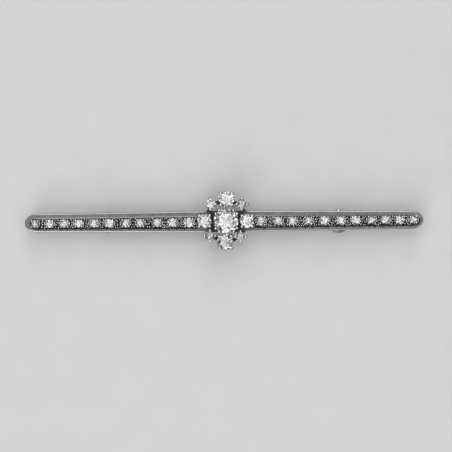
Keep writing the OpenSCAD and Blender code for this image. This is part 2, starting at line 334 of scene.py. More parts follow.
def painted_shade_silver():
    """Painted shade for metal deep under the flower: dark grey, with paler patches."""
    material, tree = new_material("painted_shade_silver")
    place = surface_up(tree)[0]
    patches = add_node(
        tree, "TexNoise", {"Scale": 1 / SHADE_PATCH_SIZE, "Detail": 4}, {"Vector": place}
    )
    colour = add_node(
        tree, "ValToRGB", {"stops": [(0.35, "#262626"), (0.7, "#4a4a4a")]}, {"Fac": patches}
    )
    gloss = add_node(tree, "MapRange", {"To Min": 0.34, "To Max": 0.5}, {"Value": patches})
    shader = add_node(
        tree, "BsdfPrincipled", {"Metallic": 1}, {"Base Color": colour, "Roughness": gloss}
    )
    add_node(tree, "OutputMaterial", links={"Surface": shader})
    return material


burnished_and_lit = rounded_silver(
    "burnished_painted_light_silver", [(0.1, "#484848"), (0.5, "#909090"), (0.95, "#ececec")], 0.2
)
rubbed_and_lit = rounded_silver(
    "rubbed_painted_light_silver", [(0.3, "#404040"), (0.7, "#707070"), (1.0, "#d8d8d8")], 0.28
)
shade_silver = painted_shade_silver()
print("Made", burnished_and_lit.name, "and", rubbed_and_lit.name, "and", shade_silver.name)

# %% [markdown]
# The pin and its fittings are drawn and turned white metal, smoother than the cast bar. Fine
# lines from the drawing plate run along them. They are painted darker wherever they don't face up,
# as painted shade, with a patchy tone of age over that.

# %% Drawn silver for the pin
LINE_GAP = 0.08 * MM
LINE_STRETCH = 20
AGE_SIZE = 0.9 * MM
# How much lighter the metal is painted where it faces up: painted light and shade by direction
TOP_LIGHT_SHARE = 0.3


def drawn_silver():
    """Hard silver wire and tube: smooth, with faint drawing lines and painted shade off the top."""
    material, tree = new_material("drawn_silver")
    place, up = surface_up(tree)
    along = add_node(tree, "Mapping", {"Scale": (1 / LINE_STRETCH, 1, 1)}, {"Vector": place})
    lines = add_node(tree, "TexNoise", {"Scale": 1 / LINE_GAP, "Detail": 2}, {"Vector": along})
    age = add_node(tree, "TexNoise", {"Scale": 1 / AGE_SIZE, "Detail": 4}, {"Vector": place})
    # Painted shade: darker where the metal doesn't face up, with a patchy tone of age
    level = add_node(tree, "Math", {"operation": "MULTIPLY_ADD", 1: TOP_LIGHT_SHARE}, {0: up, 2: age})
    colour = add_node(
        tree, "ValToRGB",
        {"stops": [(0.1, "#4c4c4b"), (0.45, "#7e7e7c"), (0.8, "#a8a8a5")]}, {"Fac": level},
    )
    gloss = add_node(tree, "MapRange", {"To Min": 0.24, "To Max": 0.34}, {"Value": lines})
    shader = add_node(
        tree, "BsdfPrincipled", {"Metallic": 1}, {"Base Color": colour, "Roughness": gloss}
    )
    add_node(tree, "OutputMaterial", links={"Surface": shader})
    return material


wire_silver = drawn_silver()
print("Made", wire_silver.name)

# %% [markdown]
# A cut diamond is clear, but it hardly ever looks clear: light that enters its top is thrown back
# by the facets below, so each facet shows a different patch of the room. The high IOR does that
# in the render. A tint that changes from facet to facet and from stone to stone is a painted
# reflection: it stands in for the finer reflections of old, unevenly cut facets, and it also stays
# where the model is shown without refraction. The table, the flat facet on top, is painted pale all
# over, a painted highlight. Four of the flower's stones are greyer in the photograph, so they get a
# darker tint, and there are two kinds.

# %% Diamond for the stones
# Directions are counted in whole steps, so that one facet gives one number all over
FACET_STEPS = (50, 50, 50)
STEP_START = (0.37, 0.37, 0.37)


def diamond(name, darkest, middling, palest):
    """Old-cut diamond: clear and very bright, each facet a little lighter or darker."""
    material, tree = new_material(name)
    geometry = add_node(tree, "NewGeometry")
    stone = add_node(tree, "ObjectInfo")
    steps = add_node(
        tree, "VectorMath", {"operation": "MULTIPLY_ADD", 1: FACET_STEPS, 2: STEP_START},
        {0: geometry.outputs["True Normal"]},
    )
    facet = add_node(tree, "VectorMath", {"operation": "FLOOR"}, {0: steps})
    facets = add_node(
        tree, "TexWhiteNoise", {"noise_dimensions": "4D"},
        {"Vector": facet, "W": stone.outputs["Random"]},
    )
    tint = add_node(
        tree, "ValToRGB", {"stops": [(0.0, darkest), (0.38, middling), (0.66, palest)]},
        {"Fac": facets},
    )
    # Painted highlight: the table, which faces up, is painted pale
    table = add_node(
        tree, "ValToRGB", {"stops": [(0.95, "#000000"), (0.985, "#ffffff")]},
        {"Fac": surface_up(tree)[1]},
    )
    colour = add_node(tree, "MixRGB", {"Color2": linear(palest)}, {"Fac": table, "Color1": tint})
    shader = add_node(
        tree, "BsdfPrincipled",
        {"Roughness": 0.02, "IOR": 2.42, "Transmission Weight": 0.85}, {"Base Color": colour},
    )
    add_node(tree, "OutputMaterial", links={"Surface": shader})
    return material


white_stone = diamond("old_cut_diamond", "#505254", "#989a9c", "#ffffff")
grey_stone = diamond("greyer_diamond", "#1c1e20", "#686a6c", "#dadcdd")
print("Made", white_stone.name, "and", grey_stone.name)

# %% [markdown]
# Modelling needs a few small helpers. An operator acts on all that is selected, and the frame
# arrives selected, so every new piece starts from an empty selection. Faces and edges are picked
# by a test on their place or direction. A finished piece keeps its place in its mesh, and its
# object stays at the origin.

# %% Helpers for modelling
def choose(*pieces):
    """Selects these objects alone and makes the first one active."""
    bpy.ops.object.select_all(action="DESELECT")
    for piece in pieces:
        piece.select_set(True)
    bpy.context.view_layer.objects.active = pieces[0]


def add_piece(name, add, **options):
    """Adds a primitive with nothing else selected, names it and puts its place into its mesh."""
    bpy.ops.object.select_all(action="DESELECT")
    add(**options)
    piece = bpy.context.active_object
    piece.name = name
    piece.data.name = name
    bpy.ops.object.transform_apply(location=True, rotation=True, scale=True)
    return piece


def edit(piece):
    """Opens a piece in edit mode with everything selected."""
    choose(piece)
    bpy.ops.object.mode_set(mode="EDIT")
    bpy.ops.mesh.select_all(action="SELECT")


def turn_outwards():
    """Selects the whole of the open piece and turns its faces outwards."""
    bpy.ops.mesh.select_all(action="SELECT")
    bpy.ops.mesh.normals_make_consistent(inside=False)


def close_edit():
    """Turns all faces outwards and leaves edit mode."""
    turn_outwards()
    bpy.ops.object.mode_set(mode="OBJECT")


def pick(piece, kind, wanted):
    """Selects the vertices, edges or faces that pass the test, and nothing else."""
    bpy.ops.mesh.select_mode(type=kind)
    bpy.ops.mesh.select_all(action="DESELECT")
    shape = bmesh.from_edit_mesh(piece.data)
    parts = {"VERT": shape.verts, "EDGE": shape.edges, "FACE": shape.faces}[kind]
    for part in parts:
        if wanted(part):
            part.select_set(True)
    shape.select_flush_mode()
    bmesh.update_edit_mesh(piece.data)


def slice_at(point, normal, **options):
    """Cuts the open piece along a plane. Points count as on the plane only if they really are."""
    bpy.ops.mesh.select_all(action="SELECT")
    bpy.ops.mesh.bisect(plane_co=point, plane_no=normal, threshold=TOUCH / 10, **options)


def move(x, y, z):
    """Moves what is selected."""
    bpy.ops.transform.translate(value=(x, y, z))


def resize(scales, middle=(0, 0, 0)):
    """Scales what is selected about a point."""
    bpy.ops.transform.resize(value=scales, center_override=middle)


def pull(lift, scale=1.0, middle=(0, 0, 0)):
    """Extrudes the selected face upwards, then scales its copy about a point in its plane."""
    bpy.ops.mesh.extrude_region_move(TRANSFORM_OT_translate={"value": (0, 0, lift)})
    resize((scale, scale, 1), middle)


def add_modifier(piece, kind, **settings):
    """Adds a modifier with its settings and applies it."""
    modifier = piece.modifiers.new(kind.lower(), kind)
    for name, value in settings.items():
        setattr(modifier, name, value)
    choose(piece)
    bpy.ops.object.modifier_apply(modifier=modifier.name)


def round_edges(piece, width, segments, angle):
    """Bevels the edges that are sharper than an angle."""
    add_modifier(piece, "BEVEL", width=width, segments=segments, limit_method="ANGLE",
                 angle_limit=math.radians(angle))


def cut(piece, cutter):
    """Cuts the cutter's shape out of a piece and removes the cutter."""
    add_modifier(piece, "BOOLEAN", operation="DIFFERENCE", solver="EXACT", object=cutter,
                 material_mode="TRANSFER")
    bpy.data.objects.remove(cutter)


def copy_to(piece, place):
    """Copies a piece with a mesh of its own, moved by a matrix."""
    copy = piece.copy()
    copy.data = piece.data.copy()
    copy.data.transform(place)
    bpy.context.scene.collection.objects.link(copy)
    return copy


def join(name, pieces):
    """Joins pieces into one."""
    choose(*pieces)
    bpy.ops.object.join()
    pieces[0].name = name
    return pieces[0]


def paint(piece, material):
    """Gives a whole piece one material."""
    piece.data.materials.clear()
    piece.data.materials.append(material)


def soften(piece, angle=35):
    """Shades a piece smooth except at edges sharper than the angle, and keeps flat faces flat."""
    choose(piece)
    bpy.ops.object.shade_smooth_by_angle(angle=math.radians(angle))
    add_modifier(piece, "WEIGHTED_NORMAL", keep_sharp=True)


def hand_over(piece, node):
    """Lets a finished piece move with the brooch and hides the frame's solid that it stands for."""
    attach(piece, "root")
    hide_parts(node)
    print(piece.name, "has", len(piece.data.polygons), "faces")


print("Modelling helpers are ready")

# %% [markdown]
# The frame says where each stone is. Its box gives its diameter and middle, and the height of
# its girdle, the stone's widest line, follows from the shares of a brilliant: the pavilion below
# the girdle is 42 hundredths of the diameter deep and the girdle 3 hundredths thick.

# %% Read the stones from the frame
PAVILION_SHARE = 0.42
GIRDLE_SHARE = 0.03


def read_stone(name):
    """Middle, diameter and girdle height of a stone, from its box."""
    low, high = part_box(name)
    size = high.x - low.x
    girdle = low.z + size * (PAVILION_SHARE + GIRDLE_SHARE / 2)
    x, y = (low.x + high.x) / 2, (low.y + high.y) / 2
    return {"name": name, "x": x, "y": y, "d": size, "z": girdle}


stones = {name: read_stone(name) for name in sorted(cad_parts) if "stone" in name}
# The bar's halves: which way each runs from the flower, its name and its stones in that order
SIDES = {-1: "left", 1: "right"}
rows = {}
for side, side_name in SIDES.items():
    row = [stone for stone in stones.values() if side_name + "_row" in stone["name"]]
    rows[side] = sorted(row, key=lambda stone: side * stone["x"])
flower = [stone for stone in stones.values() if "row" not in stone["name"]]
middle_stone = stones["middle_stone"]
print(len(rows[-1]), "and", len(rows[1]), "stones in the rows,", len(flower), "in the flower")

# %% [markdown]
# The bar is a flat strip with rounded ends, a little wider at the flower than at its tips. It
# could be traced point by point, but a circle cut in two and pulled apart gives the same outline
# in a few steps, and keeps the ends truly round. The long sides are then cut at even steps and
# shaken a little, because a bar filed by hand isn't perfectly straight.

# %% Draw the bar's outline
BAR_MIDDLE_WIDTH = 4.15 * MM
BAR_END_WIDTH = 3.5 * MM
BAR_END_ROUND = 2.3 * MM
BAR_BACK = 2.8 * MM
BAR_THICKNESS = BORDER_Z - BAR_BACK
END_X = BAR_LENGTH / 2 - BAR_END_ROUND
OUTLINE_STEPS = 64
FILE_STEP = 3 * MM
FILE_WAVER = 0.05 * MM
FILE_SEED = 4

back_middle = (0, 0, BAR_BACK)
bar = add_piece("bar", bpy.ops.mesh.primitive_circle_add, vertices=OUTLINE_STEPS,
                radius=BAR_END_WIDTH / 2, fill_type="NGON", location=back_middle)
edit(bar)
resize((2 * BAR_END_ROUND / BAR_END_WIDTH, 1, 1), back_middle)
slice_at((0, 0, 0), (1, 0, 0))
for side in (1, -1):
    pick(bar, "VERT", lambda vertex: vertex.co.x * side > TOUCH)
    move(side * END_X, 0, 0)
pick(bar, "VERT", lambda vertex: abs(vertex.co.x) < TOUCH)
resize((1, BAR_MIDDLE_WIDTH / BAR_END_WIDTH, 1), back_middle)
file_marks = int(END_X / FILE_STEP)
for mark in range(-file_marks, file_marks + 1):
    if mark:
        slice_at((mark * FILE_STEP, 0, 0), (1, 0, 0))
pick(bar, "VERT", lambda vertex: abs(vertex.co.x) < END_X - FILE_STEP / 2)
bpy.ops.transform.vertex_random(offset=FILE_WAVER, seed=FILE_SEED)
bpy.ops.mesh.select_all(action="SELECT")
resize((1, 1, 0), back_middle)
bpy.ops.object.mode_set(mode="OBJECT")
print("Outline:", len(bar.data.vertices), "points")

# %% [markdown]
# The strip is now raised to its thickness. Its upper rim is the part that a cloth rubs most, so
# it gets a rounded bevel, wider than the one underneath. In the picture this bevel is the thin
# bright line that runs all along the bar.

# %% Raise the bar and round its rims
TOP_RIM = 0.2 * MM
BACK_RIM = 0.08 * MM
OUTLINE_ANGLE = math.radians(60)


def on_outline(edge, height):
    """True for an edge of the outline at a height: the faces that it joins stand at an angle."""
    level = all(abs(vertex.co.z - height) < TOUCH for vertex in edge.verts)
    return level and len(edge.link_faces) == 2 and edge.calc_face_angle() > OUTLINE_ANGLE


edit(bar)
pull(BAR_THICKNESS)
turn_outwards()
pick(bar, "EDGE", lambda edge: on_outline(edge, BORDER_Z))
bpy.ops.mesh.bevel(offset=TOP_RIM, segments=4, affect="EDGES")
pick(bar, "EDGE", lambda edge: on_outline(edge, BAR_BACK))
bpy.ops.mesh.bevel(offset=BACK_RIM, segments=2, affect="EDGES")
close_edit()
paint(bar, silver)
print("Bar:", len(bar.data.polygons), "faces")

# %% [markdown]
# Each half of the bar has a sunk channel for its stones, with a round end past the last one. The
# channel is cut with a solid of its own shape: a half disc whose straight side is pulled towards
# the flower and widened on the way. Towards its mouth the cutter grows to one side, which slants
# the upper wall as the setter's bright cut does. The cutter carries the blackened silver, and
# channel silver on that mouth, and the cut takes both over.

# %% Cut the two channels
CHANNEL_DEPTH = 0.35 * MM
CHANNEL_Z = BORDER_Z - CHANNEL_DEPTH
CHANNEL_START = 5.3 * MM
CHANNEL_INNER_WIDTH = 2.3 * MM
CHANNEL_OUTER_WIDTH = 2.0 * MM
# The channels' middle lines, a little below those of the stones: left and right
CHANNEL_Y = {-1: -0.25 * MM, 1: -0.17 * MM}
CHANNEL_RIM = 0.05 * MM
CHANNEL_RIM_ANGLE = math.radians(20)
BRIGHT_CUT_DEPTH = 0.17 * MM
BRIGHT_CUT_WIDTH = 0.2 * MM
# How far each round end is pressed or stretched: left and right
END_STRETCH = {-1: 0.87, 1: 1.3}
ABOVE = 1 * MM


def channel_cutter(side):
    """A solid of the channel's shape, which stands out above the bar."""
    last = rows[side][-1]
    middle = (last["x"], CHANNEL_Y[side], CHANNEL_Z)
    lower_edge = (middle[0], middle[1] - CHANNEL_OUTER_WIDTH / 2, BORDER_Z)
    cutter = add_piece("channel_cutter", bpy.ops.mesh.primitive_circle_add, vertices=32,
                       radius=CHANNEL_OUTER_WIDTH / 2, fill_type="NGON", location=middle)
    edit(cutter)
    slice_at(middle, (side, 0, 0), clear_inner=True)
    bpy.ops.mesh.select_all(action="SELECT")
    resize((END_STRETCH[side], 1, 1), middle)
    pick(cutter, "VERT", lambda vertex: abs(vertex.co.x - last["x"]) < TOUCH)
    run = side * CHANNEL_START - last["x"]
    bpy.ops.mesh.extrude_edges_move(TRANSFORM_OT_translate={"value": (run, 0, 0)})
    resize((1, CHANNEL_INNER_WIDTH / CHANNEL_OUTER_WIDTH, 1), middle)
    bpy.ops.mesh.select_all(action="SELECT")
    pull(CHANNEL_DEPTH - BRIGHT_CUT_DEPTH)
    # The slanted part goes on above the bar, so that none of its corners lies in the bar's top
    pull(2 * BRIGHT_CUT_DEPTH)
    resize((1, 1 + 2 * BRIGHT_CUT_WIDTH / CHANNEL_OUTER_WIDTH, 1), lower_edge)
    pull(ABOVE)
    close_edit()
    paint(cutter, ground)
    cutter.data.materials.append(cut_silver)
    for face in cutter.data.polygons:
        if abs(face.center.z - BORDER_Z) < BRIGHT_CUT_DEPTH / 2:
            face.material_index = 1
    return cutter


def on_channel_rim(edge):
    """True for an edge where a channel's wall meets the borders."""
    level = all(abs(vertex.co.z - BORDER_Z) < TOUCH for vertex in edge.verts)
    y = (edge.verts[0].co.y + edge.verts[1].co.y) / 2
    reach = CHANNEL_INNER_WIDTH / 2 + 2 * BRIGHT_CUT_WIDTH
    near = any(abs(y - row[0]["y"]) < reach for row in rows.values())
    return level and near and edge.calc_face_angle(0) > CHANNEL_RIM_ANGLE


for side in SIDES:
    cut(bar, channel_cutter(side))
edit(bar)
pick(bar, "EDGE", on_channel_rim)
rim_finish = bar.data.materials.find(cut_silver.name)
bpy.ops.mesh.bevel(offset=CHANNEL_RIM, segments=2, affect="EDGES", material=rim_finish)
close_edit()
print("Bar with channels:", len(bar.data.polygons), "faces")

# %% [markdown]
# To raise a grain the setter pushes a graver from the border towards the stone, and each push
# leaves a short notch in the channel's wall. In the photograph they show along the lower wall. A
# cone on its side has the shape of such a cut. Two cones lie at each stone, and their places and
# sizes differ a little, as by hand.

# %% Cut the graver's notches
NOTCH_R = 0.26 * MM
NOTCH_LENGTH = 0.42 * MM
NOTCH_INSIDE = 0.12 * MM
# Where the grains of a stone stand along the bar, as a share of its diameter
GRAIN_SHARE = 0.38
NOTCH_RISE = 0.03 * MM
# How far a notch may be from its grain, in mm, and how small or large it may be
NOTCH_SHIFT = 0.15
NOTCH_SCALES = (0.7, 1.15)
NOTCH_SEEDS = {-1: 21, 1: 22}


def channel_half_width(x, side):
    """Half of the channel's width at x."""
    last = abs(rows[side][-1]["x"])
    share = (abs(x) - CHANNEL_START) / (last - CHANNEL_START)
    if share < 1:
        return (CHANNEL_INNER_WIDTH + (CHANNEL_OUTER_WIDTH - CHANNEL_INNER_WIDTH) * share) / 2
    beyond = (abs(x) - last) / END_STRETCH[side]
    return math.sqrt(max((CHANNEL_OUTER_WIDTH / 2) ** 2 - beyond ** 2, 0))


def notch_places(side):
    """Matrices that lay the cone across the lower wall beside the grains of a row."""
    dice = random.Random(NOTCH_SEEDS[side])
    places = []
    for stone in rows[side]:
        for along in (-1, 1):
            shift = dice.uniform(-NOTCH_SHIFT, NOTCH_SHIFT) * MM
            x = stone["x"] + along * stone["d"] * GRAIN_SHARE + shift
            scale = dice.uniform(*NOTCH_SCALES)
            if CHANNEL_START + NOTCH_R < abs(x) < abs(rows[side][-1]["x"]):
                y = CHANNEL_Y[side] - channel_half_width(x, side) + NOTCH_INSIDE
                place = Matrix.Translation((x, y, BORDER_Z + NOTCH_RISE))
                places.append(place @ Matrix.Rotation(math.pi / 2, 4, "X") @ Matrix.Scale(scale, 4))
    return places


notch = add_piece("notch", bpy.ops.mesh.primitive_cone_add, vertices=8, radius1=NOTCH_R, radius2=0,
                  depth=NOTCH_LENGTH, location=(0, 0, NOTCH_LENGTH / 2))
paint(notch, ground)
notches = [copy_to(notch, place) for side in SIDES for place in notch_places(side)]
print("Notches:", len(notches))
cut(bar, join("notch_cutter", notches))
bpy.data.objects.remove(notch)
# The edge between two finishes stays sharp, so that their shading doesn't run together
edit(bar)
pick(bar, "EDGE", lambda edge: len({face.material_index for face in edge.link_faces}) > 1)
bpy.ops.mesh.mark_sharp()
close_edit()

# %% [markdown]
# A stone sits in a seat cut to its own shape, and behind it a hole through the bar lets light in.
# One solid of a stone's room is modelled for a stone 1 mm across: a disc at the girdle, pulled up
# to the table and down to the point. Scaled copies of it cut the notches in grains and claws, and
# the pit in the bar for the middle stone's point. A second solid with a long foot cuts the seats
# of the rows and their holes.

# %% Model the room that a stone needs
UNIT = 1 * MM
CROWN_SHARE = 0.16
TABLE_SHARE = 0.55
STAR_SHARE = 0.775
LOWER_SHARE = 0.3
SEAT_HOLE_SHARE = 0.6
POINT_SCALE = 0.05
STONE_GAP = 0.03 * MM


def model_room(name, hole_depth):
    """The round room of a stone 1 mm across, with its girdle at z = 0 and maybe a hole below."""
    room = add_piece(name, bpy.ops.mesh.primitive_cylinder_add, vertices=32, radius=UNIT / 2,
                     depth=GIRDLE_SHARE * UNIT)
    edit(room)
    pick(room, "FACE", lambda face: face.normal.z > 0.5)
    pull(CROWN_SHARE * UNIT / 2, STAR_SHARE)
    pull(CROWN_SHARE * UNIT / 2, TABLE_SHARE / STAR_SHARE)
    pick(room, "FACE", lambda face: face.normal.z < -0.5)
    if hole_depth:
        pull(-(1 - SEAT_HOLE_SHARE) * PAVILION_SHARE * UNIT, SEAT_HOLE_SHARE)
        pull(-hole_depth * UNIT)
    else:
        pull(-(1 - LOWER_SHARE) * PAVILION_SHARE * UNIT, LOWER_SHARE)
        pull(-LOWER_SHARE * PAVILION_SHARE * UNIT, POINT_SCALE)
    close_edit()
    paint(room, rubbed_and_lit)
    return room


def room_for(room, stone):
    """A copy of a room at a stone's place, larger than the stone by the gap."""
    scale = (stone["d"] + 2 * STONE_GAP) / UNIT
    place = Matrix.Translation((stone["x"], stone["y"], stone["z"]))
    return copy_to(room, place @ Matrix.Scale(scale, 4))


stone_room = model_room("stone_room", 0)
seat_room = model_room("seat_room", 1)
print("A room has", len(stone_room.data.polygons), "faces")

# %% Cut the seats of both rows and the middle stone's pit
seats = [room_for(seat_room, stone) for side in SIDES for stone in rows[side]]
cut(bar, join("seat_cutter", seats))
cut(bar, room_for(stone_room, middle_stone))
soften(bar)
hand_over(bar, "setting")

# %% [markdown]
# Four grains hold each stone of a row. The setter raises them from the ground with a pointed tool
# and rounds them, so each is a small ball that leans over the stone's edge. One grain is modelled
# and copied, and the stones' rooms are then cut out of all of them, which leaves the notch that a
# real grain has.

# %% Raise the grains
GRAIN_R = 0.19 * MM
GRAIN_OUT = 0.05 * MM
GRAIN_RISE = 0.02 * MM
DIAGONALS = (45, 135, 225, 315)

grain = add_piece("grain", bpy.ops.mesh.primitive_uv_sphere_add, segments=14, ring_count=10,
                  radius=GRAIN_R)
edit(grain)
slice_at((0, 0, -GRAIN_R / 2), (0, 0, 1), clear_inner=True, use_fill=True)
close_edit()


def places_round(stone, gap, angles):
    """Points at this gap from a stone's edge: x and y at each angle, in degrees."""
    out = stone["d"] / 2 + gap
    turns = [math.radians(angle) for angle in angles]
    return [(stone["x"] + math.cos(a) * out, stone["y"] + math.sin(a) * out) for a in turns]


def grains_round(stone):
    """Four grains at a stone's diagonals."""
    height = stone["z"] + GRAIN_RISE
    spots = places_round(stone, GRAIN_OUT, DIAGONALS)
    return [copy_to(grain, Matrix.Translation((x, y, height))) for x, y in spots]


for side, side_name in SIDES.items():
    grains = join(side_name + "_grains", [g for stone in rows[side] for g in grains_round(stone)])
    paint(grains, burnished_and_lit)
    cut(grains, join("grain_cutter", [room_for(stone_room, stone) for stone in rows[side]]))
    soften(grains, 50)
    hand_over(grains, "setting")
bpy.data.objects.remove(grain)

# %% [markdown]
# The rest of the ground is stippled with small beads that hold nothing and only catch the light.
# A setter fills the space by eye. Here three small beads lie on either side of each stone, and the
# rest are thrown at the channel at random: one that would meet a stone, a grain, the wall or
# another bead is left out. The random numbers start from a fixed seed, so the beads lie the same
# each time.

# %% Stipple the ground with beads
BEAD_SIZES = (0.11 * MM, 0.18 * MM)
BEAD_TRIES = 4000
BEAD_GAP = 0.05 * MM
BEAD_SEEDS = {-1: 4, 1: 5}
BARE_STRIP = 0.14 * MM
# Small beads on either side of each stone: their angles from the bar's length, size and distance
SIDE_BEADS = (-18, 0, 18, 162, 180, 198)
SIDE_BEAD_R = 0.14 * MM
SIDE_BEAD_OUT = 0.16 * MM

bead = add_piece("bead", bpy.ops.mesh.primitive_ico_sphere_add, subdivisions=2, radius=UNIT)
edit(bead)
slice_at((0, 0, -UNIT / 3), (0, 0, 1), clear_inner=True, use_fill=True)
close_edit()


def bead_fits(x, y, r, side, beads):
    """True if a bead keeps clear of the wall, the stones, their grains and the other beads."""
    across = y - CHANNEL_Y[side]
    half_width = channel_half_width(x, side)
    if across + r / 2 > half_width or across - r < BARE_STRIP - half_width:
        return False
    for stone in rows[side]:
        if math.hypot(x - stone["x"], y - stone["y"]) < stone["d"] / 2 + r:
            return False
        for grain_x, grain_y in places_round(stone, GRAIN_OUT, DIAGONALS):
            if math.hypot(x - grain_x, y - grain_y) < GRAIN_R + r:
                return False
    return all(math.hypot(x - bx, y - by) > r + br + BEAD_GAP for bx, by, br in beads)


def throw_beads(side):
    """Places of beads that fill one channel: x, y and radius of each."""
    row = rows[side]
    dice = random.Random(BEAD_SEEDS[side])
    spots = [spot for stone in row for spot in places_round(stone, SIDE_BEAD_OUT, SIDE_BEADS)]
    beads = [(x, y, SIDE_BEAD_R) for x, y in spots]
    reach = abs(row[-1]["x"]) + CHANNEL_OUTER_WIDTH / 2
    for _ in range(BEAD_TRIES):
        r = dice.uniform(*BEAD_SIZES)
        x = side * dice.uniform(CHANNEL_START + r, reach)
        y = row[0]["y"] + dice.uniform(-0.5, 0.5) * CHANNEL_INNER_WIDTH
        if bead_fits(x, y, r, side, beads):
            beads.append((x, y, r))
    return beads


for side, side_name in SIDES.items():
    beads = join(side_name + "_beads", [
        copy_to(bead, Matrix.Translation((x, y, CHANNEL_Z)) @ Matrix.Scale(r / UNIT, 4))
        for x, y, r in throw_beads(side)
    ])
    paint(beads, burnished_and_lit)
    soften(beads, 60)
    hand_over(beads, "setting")
bpy.data.objects.remove(bead)

# %% [markdown]
# Each stone of the flower stands in a collet, a tapered cup that is open below, so that light
# reaches the stone. A cone without its ends is narrowed a little below its rim, given a wall and
# rounded edges, and its mouth is cut to the stone's shape. A hidden ring under the flower carries
# the eight outer collets and ties them to the bar.

# %% Helpers for the collets
CARRIER_R = 3.95 * MM
CARRIER_WIDTH = 0.7 * MM
CARRIER_HEIGHT = 0.65 * MM
CARRIER_Z = BORDER_Z - 0.9 * MM
CARRIER_ROUND = 0.12 * MM
SOLDER = 0.1 * MM
COLLET_WALL = 0.3 * MM
COLLET_FOOT_SHARE = 0.7
COLLET_INSET = 0.03 * MM
COLLET_DROP = 0.12 * MM
COLLET_RIM = 0.06 * MM
COLLET_CUTS = (0.2, 0.5, 0.8)
WAIST = 0.96
WAIST_REACH = 0.35


def foot_height(stone):
    """The height of a collet's foot: on the bar for the middle stone, else on the ring."""
    if stone is middle_stone:
        return BORDER_Z - 2 * SOLDER
    return CARRIER_Z + CARRIER_HEIGHT - 2 * SOLDER


def model_collet(stone):
    """An open tapered cup with a soft rim, cut to its stone."""
    foot = foot_height(stone)
    height = stone["z"] - COLLET_DROP - foot
    middle = (stone["x"], stone["y"], foot + height / 2)
    collet = add_piece(
        "collet", bpy.ops.mesh.primitive_cone_add, vertices=40,
        radius1=stone["d"] / 2 * COLLET_FOOT_SHARE, radius2=stone["d"] / 2 - COLLET_INSET,
        depth=height, end_fill_type="NOTHING", location=middle,
    )
    edit(collet)
    for share in COLLET_CUTS:
        slice_at((0, 0, foot + height * share), (0, 0, 1))
    pick(collet, "VERT", lambda vertex: abs(vertex.co.z - middle[2]) < height * WAIST_REACH)
    resize((WAIST, WAIST, 1), middle)
    bpy.ops.object.mode_set(mode="OBJECT")
    add_modifier(collet, "SOLIDIFY", thickness=COLLET_WALL, offset=-1, use_even_offset=True)
    round_edges(collet, COLLET_RIM, 2, 50)
    paint(collet, silver)
    cut(collet, room_for(stone_room, stone))
    return collet


print("A collet's wall is", round(COLLET_WALL / MM, 2), "mm thick")

# %% [markdown]
# The claws are wires soldered to the outside of a collet. Each leans outwards, and its end is
# rubbed over the stone's edge into a bright round bead. A ball whose lower half is pulled down
# makes the wire and its round end at once. It is cut across a few times and its end is pressed a
# little flatter and wider, as the setter's tool leaves it.

# %% Model a claw
CLAW_OUT = 0.14 * MM
CLAW_CUTS = 3
CLAW_PRESS = (1.15, 1.1, 0.8)
CLAW_BEND = 0.2
CLAW_TAPER = 0.85
CLAW_TAPER_START = 0.6
# A claw's end is this share of its stone's diameter above the girdle, besides the solder
CLAW_RISE_SHARE = 1 / 40
SMALL_CLAW_R = 0.24 * MM
CLAW_R = 0.26 * MM
LARGE_CLAW_R = 0.28 * MM
# The middle stone's claws stand in pairs, this many degrees from the diagonals
PAIR_SPREAD = 11


def claw_sizes(stone):
    """Radius and directions of a stone's claws, in degrees."""
    if stone is middle_stone:
        return CLAW_R, [a + spread for a in DIAGONALS for spread in (-PAIR_SPREAD, PAIR_SPREAD)]
    if "_left" in stone["name"] or "_right" in stone["name"]:
        return SMALL_CLAW_R, (0, 90, 180, 270)
    if stone["name"] in ("left_stone", "right_stone"):
        return CLAW_R, DIAGONALS
    return LARGE_CLAW_R, DIAGONALS


def model_claw(stone, radius):
    """One claw of a stone, which leans along +X, in place for the angle 0."""
    foot_out = stone["d"] / 2 * COLLET_FOOT_SHARE - radius / 2
    tip_out = stone["d"] / 2 + CLAW_OUT
    foot = foot_height(stone) + SOLDER
    rise = stone["z"] + SOLDER + stone["d"] * CLAW_RISE_SHARE - foot
    length = math.hypot(tip_out - foot_out, rise)
    lean = math.atan2(tip_out - foot_out, rise)
    claw = add_piece("claw", bpy.ops.mesh.primitive_uv_sphere_add, segments=16, ring_count=12,
                     radius=radius)
    edit(claw)
    pick(claw, "VERT", lambda vertex: vertex.co.z < -TOUCH)
    move(0, 0, -length)
    for i in range(1, CLAW_CUTS + 1):
        slice_at((0, 0, -length * i / (CLAW_CUTS + 1)), (0, 0, 1))
    pick(claw, "VERT", lambda vertex: vertex.co.z > -TOUCH)
    resize(CLAW_PRESS)
    pick(claw, "VERT", lambda vertex: vertex.co.z > TOUCH)
    move(-radius * CLAW_BEND, 0, 0)
    pick(claw, "VERT", lambda vertex: vertex.co.z < -length * CLAW_TAPER_START)
    resize((CLAW_TAPER, CLAW_TAPER, 1), (0, 0, -length))
    close_edit()
    upright = Matrix.Translation((tip_out, 0, foot + rise))
    claw.data.transform(upright @ Matrix.Rotation(lean, 4, "Y"))
    return claw


def model_claws(stone):
    """All claws of a stone, notched by its edge."""
    radius, directions = claw_sizes(stone)
    claw = model_claw(stone, radius)
    middle = Matrix.Translation((stone["x"], stone["y"], 0))
    claws = join("claws", [
        copy_to(claw, middle @ Matrix.Rotation(math.radians(turn), 4, "Z")) for turn in directions
    ])
    bpy.data.objects.remove(claw)
    paint(claws, rubbed_and_lit)
    cut(claws, room_for(stone_room, stone))
    return claws


print("Claws of the middle stone:", len(claw_sizes(middle_stone)[1]))

# %% Make the nine collets with their claws
for stone in flower:
    collet = model_collet(stone)
    claws = model_claws(stone)
    collet = join(stone["name"].replace("stone", "collet"), [collet, claws])
    soften(collet, 50)
    hand_over(collet, "setting")

